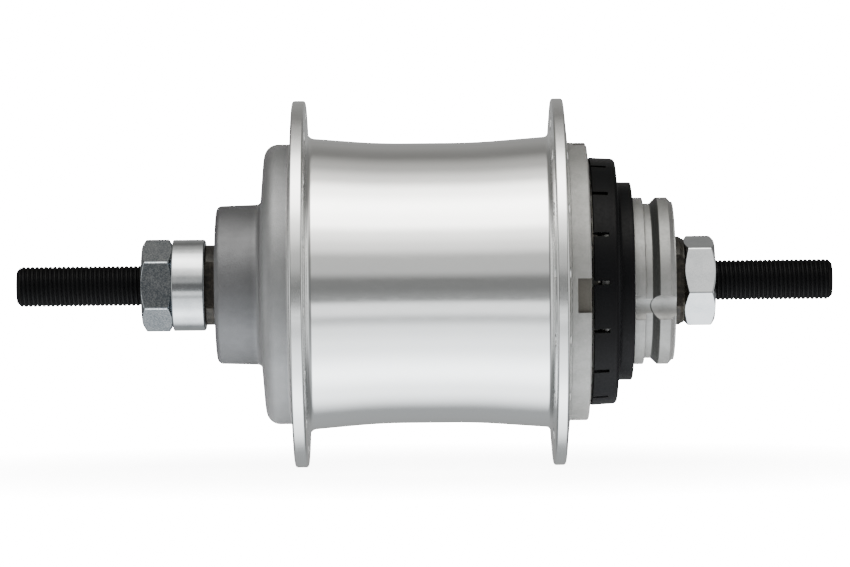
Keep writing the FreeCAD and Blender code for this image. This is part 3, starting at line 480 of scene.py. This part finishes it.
def carve(piece, bm):
    """Cuts the cutters in a bmesh out of a piece."""
    bmesh.ops.recalc_face_normals(bm, faces=bm.faces)
    mesh = bpy.data.meshes.new("cutters")
    bm.to_mesh(mesh)
    bm.free()
    cutters = bpy.data.objects.new("cutters", mesh)
    bpy.context.collection.objects.link(cutters)
    cut = piece.modifiers.new("cut", "BOOLEAN")
    cut.operation = "DIFFERENCE"
    cut.solver = "EXACT"
    cut.object = cutters
    graph = bpy.context.evaluated_depsgraph_get()
    result = bpy.data.meshes.new_from_object(piece.evaluated_get(graph))
    piece.modifiers.clear()
    piece.data = result
    result.shade_smooth()
    result.set_sharp_from_angle(angle=math.radians(HARD_EDGE))
    bpy.data.objects.remove(cutters)
    return piece


def stand_for(piece, node, body, finish):
    """Piece that replaces a CAD node of the same finish."""
    piece.data.materials.clear()
    piece.data.materials.append(finish)
    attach(piece, body)
    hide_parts(node)
    return piece


SLOT_OF = {row["node"]: row["material_slot"] for row in frame["record"]["subparts"]}
for node, thing in frame["nodes"].items():
    for place in thing.material_slots:
        place.material = FINISHES[SLOT_OF[node]]

# ---- axle, nuts, spacer and cones --------------------------------------------------------

PITCH = 25.4 / 24.0     # 24 threads per inch
CREST = 4.7625          # radius of a 3/8 inch axle
SHOULDER = CREST - 0.03
FLANK = 4.57
ROOT = 4.43
CORE = 4.42             # plain middle of the axle
TIP = 3.8               # radius where the chamfer of a tip starts
CENTRE_INSET = 0.0027   # metres, from the rim of a tip to its centre drilling
CENTRE_DEPTH = 0.0009
# one turn of the thread: share of the pitch, and radius
THREAD = ((0.0, SHOULDER), (0.08, CREST), (0.3, CREST), (0.38, SHOULDER),
          (0.55, FLANK), (0.66, ROOT), (0.74, ROOT), (0.85, FLANK))
TURN_STEPS = 72         # steps of one turn
AXLE_ENDS = ((-97.2, -66.5), (95.4, 66.5))  # tip, and end of the thread inside the nut
BORE = 4.85                                 # radius of the bores on the axle
# rows of balls: x and r of their centres, and radius of their tracks
LEFT_ROW = (-43.0, 11.0, 3.25)
MAIN_ROW = (38.5, 25.3, 2.45)
DRIVER_ROW = (53.2, 12.0, 2.45)
NUT_HALF = 9.5              # half of the 19 mm across the flats
NUT_CORNER = 0.55           # radius of the eased corners
NUT_FACE = 9.35             # radius of the flat ring on each face
NUT_CHAMFER = 0.93 / 1.62   # fall of the chamfer for each millimetre outwards
NUT_BEND = 28.7             # degrees from a flat's middle to the first point of a corner
NO_LIMIT = 99.0


def thread(bm, tip, inner):
    """Right-handed thread from a chamfered tip to a point inside the nut."""
    low, high = min(tip, inner), max(tip, inner)
    turns = math.ceil((high - low) / PITCH) + 2
    rows = []
    for i in range(turns * len(THREAD)):
        share, radius = THREAD[i % len(THREAD)]
        row = []
        for j in range(TURN_STEPS):
            x = low + (i // len(THREAD) - 1 + share + j / TURN_STEPS) * PITCH
            held = min(max(x, low), high)
            edge = TIP + abs(held - tip) * (CREST - TIP)
            r = ROOT if held == inner else min(radius, edge)
            turn = 2.0 * math.pi * j / TURN_STEPS
            at = Vector((held, r * math.cos(turn), r * math.sin(turn)))
            row.append(bm.verts.new(at * MM))
        rows.append(row)
    for i in range(len(rows) - 1):
        for j in range(TURN_STEPS):
            wrap = len(THREAD) if j == TURN_STEPS - 1 else 0
            if i + 1 + wrap >= len(rows):
                continue
            after = (j + 1) % TURN_STEPS
            bm.faces.new((rows[i][j], rows[i + 1][j], rows[i + 1 + wrap][after],
                          rows[i + wrap][after]))
    clean(bm)
    for end in (tip, inner):
        rim = [e for e in bm.edges if e.is_boundary
               and all(abs(v.co.x - end * MM) < SLIVER for v in e.verts)]
        caps = bmesh.ops.edgeloop_fill(bm, edges=rim)["faces"]
        if end == tip:
            bmesh.ops.inset_individual(bm, faces=caps, thickness=CENTRE_INSET)
            for vert in bmesh.ops.poke(bm, faces=caps)["verts"]:
                vert.co.x += math.copysign(CENTRE_DEPTH, inner - tip)


def threaded_axle():
    """Axle of one mesh: two threaded ends and the plain middle."""
    whole = bmesh.new()
    for tip, inner in AXLE_ENDS:
        bm = bmesh.new()
        thread(bm, tip, inner)
        part = bpy.data.meshes.new("end")
        bm.to_mesh(part)
        bm.free()
        whole.from_mesh(part)
        bpy.data.meshes.remove(part)
    middle = rounded([(-66.6, 0.0), (-66.6, CORE), (-34.0, CORE), (-34.0, 6.0, 0.4), (-19.2, 6.0),
                      (-19.2, 5.5), (-18.25, 5.5), (-18.25, 6.0), (30.0, 6.0, 0.4), (30.0, CORE),
                      (66.6, CORE), (66.6, 0.0)])
    angles = [360.0 / TURN_STEPS * k for k in range(TURN_STEPS)]
    skin(whole, angles, [middle] * len(angles))
    return settle("threaded_axle", whole, sharp=38.0)


def hexagon(half, corner, offset):
    """Angles and radii of a flat with its middle at offset, and of the eased corner after it."""
    flats = [offset + step for step in (-28.2, -26, -23, -19, -14, -8, 0, 8, 14, 19, 23, 26, 28.2)]
    bends = [offset + NUT_BEND + 0.1 * (60.0 - 2.0 * NUT_BEND) * k for k in range(11)]
    inset = (half - corner) / math.cos(math.radians(30.0))
    spots = []
    for angle in flats + bends:
        local = math.radians(angle - offset)
        if abs(half * math.tan(local)) <= (half - corner) * math.tan(math.radians(30.0)):
            spots.append((angle, half / math.cos(local)))
            continue
        slant = math.radians(30.0) - abs(local)
        spots.append((angle, inset * math.cos(slant)
                      + math.sqrt(corner ** 2 - (inset * math.sin(slant)) ** 2)))
    return spots


def nut(name, left, right, turn):
    """Chamfered hexagon nut, 19 mm across its flats, with a countersunk bore."""
    spots = []
    for side in range(6):
        spots += hexagon(NUT_HALF, NUT_CORNER, 60.0 * side + 30.0 - turn)
    bm = bmesh.new()
    sections = []
    for _, reach in spots:
        fall = NUT_CHAMFER * (reach - NUT_FACE)
        sections.append(rounded([
            (left, 5.4, 0.15), (left, NUT_FACE, 0.3), (left + fall, reach, 0.45),
            (right - fall, reach, 0.45), (right, NUT_FACE, 0.3), (right, 5.4, 0.15),
            (right - 0.6, 4.8), (left + 0.6, 4.8)], steps=4))
    skin(bm, [angle for angle, _ in spots], sections)
    return weigh(settle(name, bm, sharp=25.0))


def flats(half, first, last):
    """Largest radius beside two spanner flats that face the front and the back."""
    def limit(x, angle):
        if not first <= x <= last:
            return NO_LIMIT
        return half / max(abs(math.sin(math.radians(angle))), 0.01)
    return limit


stand_for(threaded_axle(), "axle", "axle", FINISHES["axle_steel"])
stand_for(nut("left_nut", -67.5, -60.25, 0.0), "locknut_left", "axle", FINISHES["zinc_steel"])
stand_for(nut("right_nut", 60.2, 67.5, -14.0), "locknut_right", "axle", FINISHES["zinc_steel"])
stand_for(weigh(lathe("left_collar", [
    (-60.25, BORE), (-60.25, 10.8, 0.35), (-52.5, 10.8, 0.6), (-52.5, BORE)])),
    "spacer_left", "axle", FINISHES["zinc_steel"])
stand_for(weigh(lathe("left_cone_nut", [
    (-52.5, BORE), (-52.5, 9.47, 0.3), (-49.42, 9.47), (-49.38, 9.47), (-45.87, 9.47)]
    + arc(*LEFT_ROW, 208.3, 308.0) + [(-41.0, BORE)],
    flats(7.75, -53.0, -49.4), (54.92, 125.08, 234.92, 305.08))),
    "cone_left", "axle", FINISHES["black_steel"])
stand_for(weigh(lathe("right_cone_nut", [
    (50.9, BORE), (50.9, 9.55, 0.2), (52.9, 9.55)] + arc(*DRIVER_ROW, 270.0, 320.7) + [
    (57.88, 10.45), (57.92, 10.45), (59.2, 10.45, 0.3), (59.9, 9.95, 0.2), (60.2, 9.95),
    (60.2, BORE)], flats(8.5, 57.9, 60.3), (54.43, 125.57, 234.43, 305.57))),
    "cone_right", "axle", FINISHES["black_steel"])

# ---- shell and ball ring -----------------------------------------------------------------

SPOKE_HOLES = 16        # in each flange
HOLE = 1.35             # radius of a spoke hole
MOUTH = 2.3             # and of the countersinks on both its ends
# first hole's angle, radius of the circle, ends of the drilling, faces under the countersinks
SPOKE_ROWS = ((-98.7, 39.9, -31.88, -28.37, -31.83, -28.45),
              (-87.45, 39.3, 28.85, 32.43, 28.9, 32.4))
NOTCH_TURN = -5.8       # wrench notches, from the horizontal and vertical
RATCHET_TEETH = 24
SLOT_TURN = -108.8      # first of the driver's three slots
SLOT_RADIUS = 3.4       # of their round bottoms
SLOT_CIRCLE = 21.1      # and where the centres of these are
CAP_SLITS = 16
SLIT_TURN = -0.7        # first slit of the dust cap

shell = lathe("hub_body", [
    (-49.9, 15.8, 0.3), (-49.9, 18.65, 1.3), (-39.4, 18.98, 1.2), (-38.17, 33.1, 3.2),
    (-32.0, 33.1, 0.8), (-31.7, 43.35, 0.6), (-28.6, 43.35, 0.6), (-28.2, 34.5, 1.8),
    (-11.5, 33.1, 150.0), (11.0, 33.1, 150.0), (28.5, 34.4, 1.2), (29.25, 43.35, 0.6),
    (32.0, 43.35, 0.6), (32.9, 34.0, 0.4), (33.0, 33.6), (33.0, 31.0), (21.5, 31.0),
    (21.5, 29.5), (-35.8, 29.5, 2.0), (-35.8, 12.8), (-38.8, 12.8), (-38.8, 15.8)])
drills, mouths = bmesh.new(), bmesh.new()
for start, circle, near, far, near_face, far_face in SPOKE_ROWS:
    for hole in range(SPOKE_HOLES):
        turn = start + 360.0 / SPOKE_HOLES * hole
        cutter_peg(drills, near - 1.0, far + 1.0, (HOLE, HOLE), circle, turn, 32)
        cutter_peg(mouths, near_face - 0.6, near_face + 0.35, (MOUTH, HOLE), circle, turn, 32)
        cutter_peg(mouths, far_face - 0.35, far_face + 0.6, (HOLE, MOUTH), circle, turn, 32)
shell = carve(carve(shell, drills), mouths)
stand_for(weigh(shell), "hub_shell", "shell", FINISHES["shell_alloy"])

ring = lathe("ball_ring_nut", [
    (22.0, 27.0), (22.0, 31.0, 0.4), (33.0, 31.0), (33.0, 32.85, 0.15), (34.28, 32.85),
    (34.32, 32.85), (37.5, 32.85, 0.5), (37.5, 27.54)]
    + arc(*MAIN_ROW, 114.1, 206.7)
    + [(32.0, 24.2), (32.0, 29.0), (28.8, 29.0), (28.8, 27.0)])
notches = bmesh.new()
for k in range(4):
    cutter_block(notches, 34.3, 39.0, 4.0, 31.5, 36.0, 90.0 * k + NOTCH_TURN)
for k in range(RATCHET_TEETH):
    turn = 360.0 / RATCHET_TEETH * k
    cutter_prism(notches, 21.0, 28.8, [(26.85, 17.19 + turn), (28.6, 14.36 + turn),
                                       (28.55, 13.86 + turn), (26.85, 4.3 + turn)])
stand_for(weigh(carve(ring, notches)), "ball_ring", "shell", RING_FINISH)

# ---- driver and its dust cap -------------------------------------------------------------

neck = lathe("splined_driver", [
    (31.0, 21.05), (31.0, 23.05, 0.3)] + arc(*MAIN_ROW, 246.7, 293.3) + [
    (40.05, 23.05)] + arc(*MAIN_ROW, 309.2, 410.0) + [
    (43.0, 27.2, 0.2), (43.0, 21.5), (48.1, 21.5, 0.35), (48.1, 19.73), (50.6, 19.73, 0.25),
    (50.6, 18.3, 0.15), (52.3, 18.3, 0.15), (53.8, 19.73, 0.25), (56.4, 19.73, 0.4),
    (57.3, 18.7, 0.3), (57.7, 18.7, 0.15), (57.7, 14.45, 0.3)]
    + arc(*DRIVER_ROW, 90.0, 180.0) + [(34.1, 12.0), (34.1, 21.05)])
flutes = bmesh.new()
for k in range(3):
    cutter_peg(flutes, 48.1, 59.0, (SLOT_RADIUS, SLOT_RADIUS), SLOT_CIRCLE,
               SLOT_TURN + 120.0 * k, 64)
stand_for(weigh(carve(neck, flutes)), "driver", "driver", FINISHES["satin_steel"])

cap = lathe("slotted_dust_cap", [
    (38.1, 28.35), (38.1, 29.3, 0.25), (44.2, 28.95, 1.0), (44.2, 23.4, 1.1),
    (47.9, 23.4, 0.35), (47.9, 21.55), (43.05, 21.55), (43.05, 27.25), (40.9, 27.25),
    (40.9, 28.35)])
slits, tabs = bmesh.new(), bmesh.new()
for k in range(CAP_SLITS):
    turn = 360.0 / CAP_SLITS * k + SLIT_TURN
    cutter_block(slits, 37.5, 41.8, 0.5, 26.9, 31.0, turn)
    cutter_block(tabs, 40.75, 41.75, 0.46, 27.0, 28.1, turn)
stand_for(weigh(carve(cap, slits)), "driver_dust_cap", "driver", FINISHES["black_plastic"])

# bright tabs that show at the ends of the slits
bmesh.ops.recalc_face_normals(tabs, faces=tabs.faces)
bmesh.ops.bevel(tabs, geom=tabs.edges[:], offset=0.00012, segments=2, affect="EDGES")
tabs = settle("dust_cap_tabs", tabs, sharp=40.0)
tabs.data.materials.append(FINISHES["satin_steel"])
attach(tabs, "driver")

# ---- studio ------------------------------------------------------------------------------

# brightness of the soft boxes and cards round the hub, by angle: 0 is behind the camera,
# 90 overhead, 180 behind the hub
STUDIO = ((-180, 0.4), (-128, 0.5), (-98, 3.4), (-78, 5.2), (-52, 2.8), (-38, 2.1), (-29, 1.0),
          (-23, 1.9), (-18, 1.9), (-13, 0.4), (-4, 0.25), (2, 0.25), (10, 0.75), (20, 0.75),
          (30, 1.8), (40, 2.8), (50, 6.5), (65, 8.0), (80, 5.0), (93, 1.6), (108, 0.65),
          (127, 0.25), (150, 0.36), (180, 0.45))
STUDIO_TOP = 12.0         # brightness that the ramp's white stands for
# how far a direction points along the axle, from 0 to 1, and what happens there
WING = (0.28, 0.5)        # the boxes end and the dim sides begin
SIDE_LIGHT = 0.18         # brightness of the sides, and
SIDE_SHARE = 0.1          # the share of the boxes that is added to it
TIP_START = 0.8           # the sides end and the lights on both ends begin
END_LIGHT = 1.3
BACKDROP = 20.0           # white that only the camera sees
TINT_HEIGHT = 0.8         # height of a direction at which the light is fully warm, or cool
COOL = (0.93, 0.975, 1.0, 1.0)
WARM = (1.0, 0.99, 0.95, 1.0)
WHITE = (1.0, 1.0, 1.0, 1.0)


def studio_world():
    """Light by direction for everything but the camera, which sees a white backdrop."""
    world = bpy.data.worlds.new("studio")
    bpy.context.scene.world = world
    world.use_nodes = True
    tree = world.node_tree
    tree.nodes.clear()
    link = tree.links.new

    def blend(kind, factor, first, last):
        """Mix node between an output and another output or a constant."""
        made = add(tree, "ShaderNodeMix", data_type=kind)
        link(factor, made.inputs["Factor"])
        link(first, made.inputs["A"])
        if isinstance(last, (float, tuple)):
            made.inputs["B"].default_value = last
        else:
            link(last, made.inputs["B"])
        return made.outputs["Result"]

    way = add(tree, "ShaderNodeSeparateXYZ")
    link(add(tree, "ShaderNodeTexCoord").outputs["Generated"], way.inputs[0])
    ahead = add(tree, "ShaderNodeMath", operation="MULTIPLY")
    ahead.inputs[1].default_value = -1.0
    link(way.outputs["Y"], ahead.inputs[0])
    turn = add(tree, "ShaderNodeMath", operation="ARCTAN2")
    link(way.outputs["Z"], turn.inputs[0])
    link(ahead.outputs[0], turn.inputs[1])
    share = add(tree, "ShaderNodeMapRange")
    share.inputs["From Min"].default_value = -math.pi
    share.inputs["From Max"].default_value = math.pi
    link(turn.outputs[0], share.inputs["Value"])
    ramp = add(tree, "ShaderNodeValToRGB")
    ramp.color_ramp.interpolation = "EASE"
    stops = ramp.color_ramp.elements
    while len(stops) > 1:
        stops.remove(stops[-1])
    for k, (angle, light) in enumerate(STUDIO):
        at = (angle + 180.0) / 360.0
        stop = stops[0] if k == 0 else stops.new(at)
        stop.position = at
        stop.color = (light / STUDIO_TOP,) * 3 + (1.0,)
    link(share.outputs["Result"], ramp.inputs["Fac"])
    level = add(tree, "ShaderNodeMath", operation="MULTIPLY")
    level.inputs[1].default_value = STUDIO_TOP
    link(ramp.outputs["Color"], level.inputs[0])

    aside = add(tree, "ShaderNodeMath", operation="ABSOLUTE")
    link(way.outputs["X"], aside.inputs[0])
    wing = add(tree, "ShaderNodeMapRange", interpolation_type="SMOOTHSTEP")
    wing.inputs["From Min"].default_value, wing.inputs["From Max"].default_value = WING
    link(aside.outputs[0], wing.inputs["Value"])
    dim = add(tree, "ShaderNodeMath", operation="MULTIPLY_ADD")
    dim.inputs[1].default_value = SIDE_SHARE
    dim.inputs[2].default_value = SIDE_LIGHT
    link(level.outputs[0], dim.inputs[0])
    tip = add(tree, "ShaderNodeMapRange", interpolation_type="SMOOTHSTEP")
    tip.inputs["From Min"].default_value = TIP_START
    link(aside.outputs[0], tip.inputs["Value"])
    light = blend("FLOAT", wing.outputs["Result"], level.outputs[0], dim.outputs[0])
    light = blend("FLOAT", tip.outputs["Result"], light, END_LIGHT)

    height = add(tree, "ShaderNodeMapRange")
    height.inputs["From Min"].default_value = -TINT_HEIGHT
    height.inputs["From Max"].default_value = TINT_HEIGHT
    link(way.outputs["Z"], height.inputs["Value"])
    colour = add(tree, "ShaderNodeMix", data_type="RGBA")
    colour.inputs["A"].default_value = COOL
    colour.inputs["B"].default_value = WARM
    link(height.outputs["Result"], colour.inputs["Factor"])

    camera_ray = add(tree, "ShaderNodeLightPath").outputs["Is Camera Ray"]
    background = add(tree, "ShaderNodeBackground")
    link(blend("RGBA", camera_ray, colour.outputs["Result"], WHITE), background.inputs["Color"])
    link(blend("FLOAT", camera_ray, light, BACKDROP), background.inputs["Strength"])
    link(background.outputs[0], add(tree, "ShaderNodeOutputWorld").inputs["Surface"])


FLOOR_RADIUS = 0.24         # metres
FLOOR_GAP = 0.0002          # under the flanges
FLOOR_FADE = (0.05, 0.23)   # from the middle, full floor to none


def pale_floor():
    """Round of pale floor under the flanges that fades out to the backdrop."""
    bm = bmesh.new()
    bmesh.ops.create_circle(bm, cap_ends=True, segments=96, radius=FLOOR_RADIUS)
    mesh = bpy.data.meshes.new("pale_floor")
    bm.to_mesh(mesh)
    bm.free()
    floor = bpy.data.objects.new("pale_floor", mesh)
    bpy.context.collection.objects.link(floor)
    floor.location = (0.0, 0.0, cad_low[2] - FLOOR_GAP)
    floor.visible_glossy = False
    paper = bpy.data.materials.new("floor_paper")
    paper.use_nodes = True
    tree = paper.node_tree
    shader = tree.nodes["Principled BSDF"]
    shader.inputs["Base Color"].default_value = (0.9, 0.9, 0.9, 1.0)
    shader.inputs["Roughness"].default_value = 0.9
    shader.inputs["Emission Color"].default_value = (1.0, 1.0, 1.0, 1.0)
    shader.inputs["Emission Strength"].default_value = 9.0
    away = add(tree, "ShaderNodeVectorMath", operation="LENGTH")
    tree.links.new(add(tree, "ShaderNodeTexCoord").outputs["Object"], away.inputs[0])
    fade = add(tree, "ShaderNodeMapRange", interpolation_type="SMOOTHSTEP")
    fade.inputs["From Min"].default_value, fade.inputs["From Max"].default_value = FLOOR_FADE
    fade.inputs["To Min"].default_value = 1.0
    fade.inputs["To Max"].default_value = 0.0
    tree.links.new(away.outputs["Value"], fade.inputs["Value"])
    tree.links.new(fade.outputs["Result"], shader.inputs["Alpha"])
    grain = add(tree, "ShaderNodeTexNoise")
    grain.inputs["Scale"].default_value = 900.0
    relief = add(tree, "ShaderNodeBump")
    relief.inputs["Distance"].default_value = 0.00005
    tree.links.new(grain.outputs["Fac"], relief.inputs["Height"])
    tree.links.new(relief.outputs["Normal"], shader.inputs["Normal"])
    floor.data.materials.append(paper)


LENS = 182.6                                # millimetres, on a 36 mm sensor
CAMERA_AT = (-0.00077, -1.02, -0.00013)     # metres
CAMERA_ROLL = -0.574                        # degrees


def photo_camera():
    """Long lens square to the axle, rolled half a degree."""
    lens = bpy.data.cameras.new("camera")
    lens.sensor_width = 36.0
    lens.lens = LENS
    lens.clip_start = 0.05
    camera = bpy.data.objects.new("camera", lens)
    bpy.context.collection.objects.link(camera)
    level = Matrix.Rotation(math.radians(90.0), 4, "X")
    roll = Matrix.Rotation(math.radians(CAMERA_ROLL), 4, "Z")
    camera.matrix_world = Matrix.Translation(CAMERA_AT) @ level @ roll
    bpy.context.scene.camera = camera


studio_world()
pale_floor()
photo_camera()
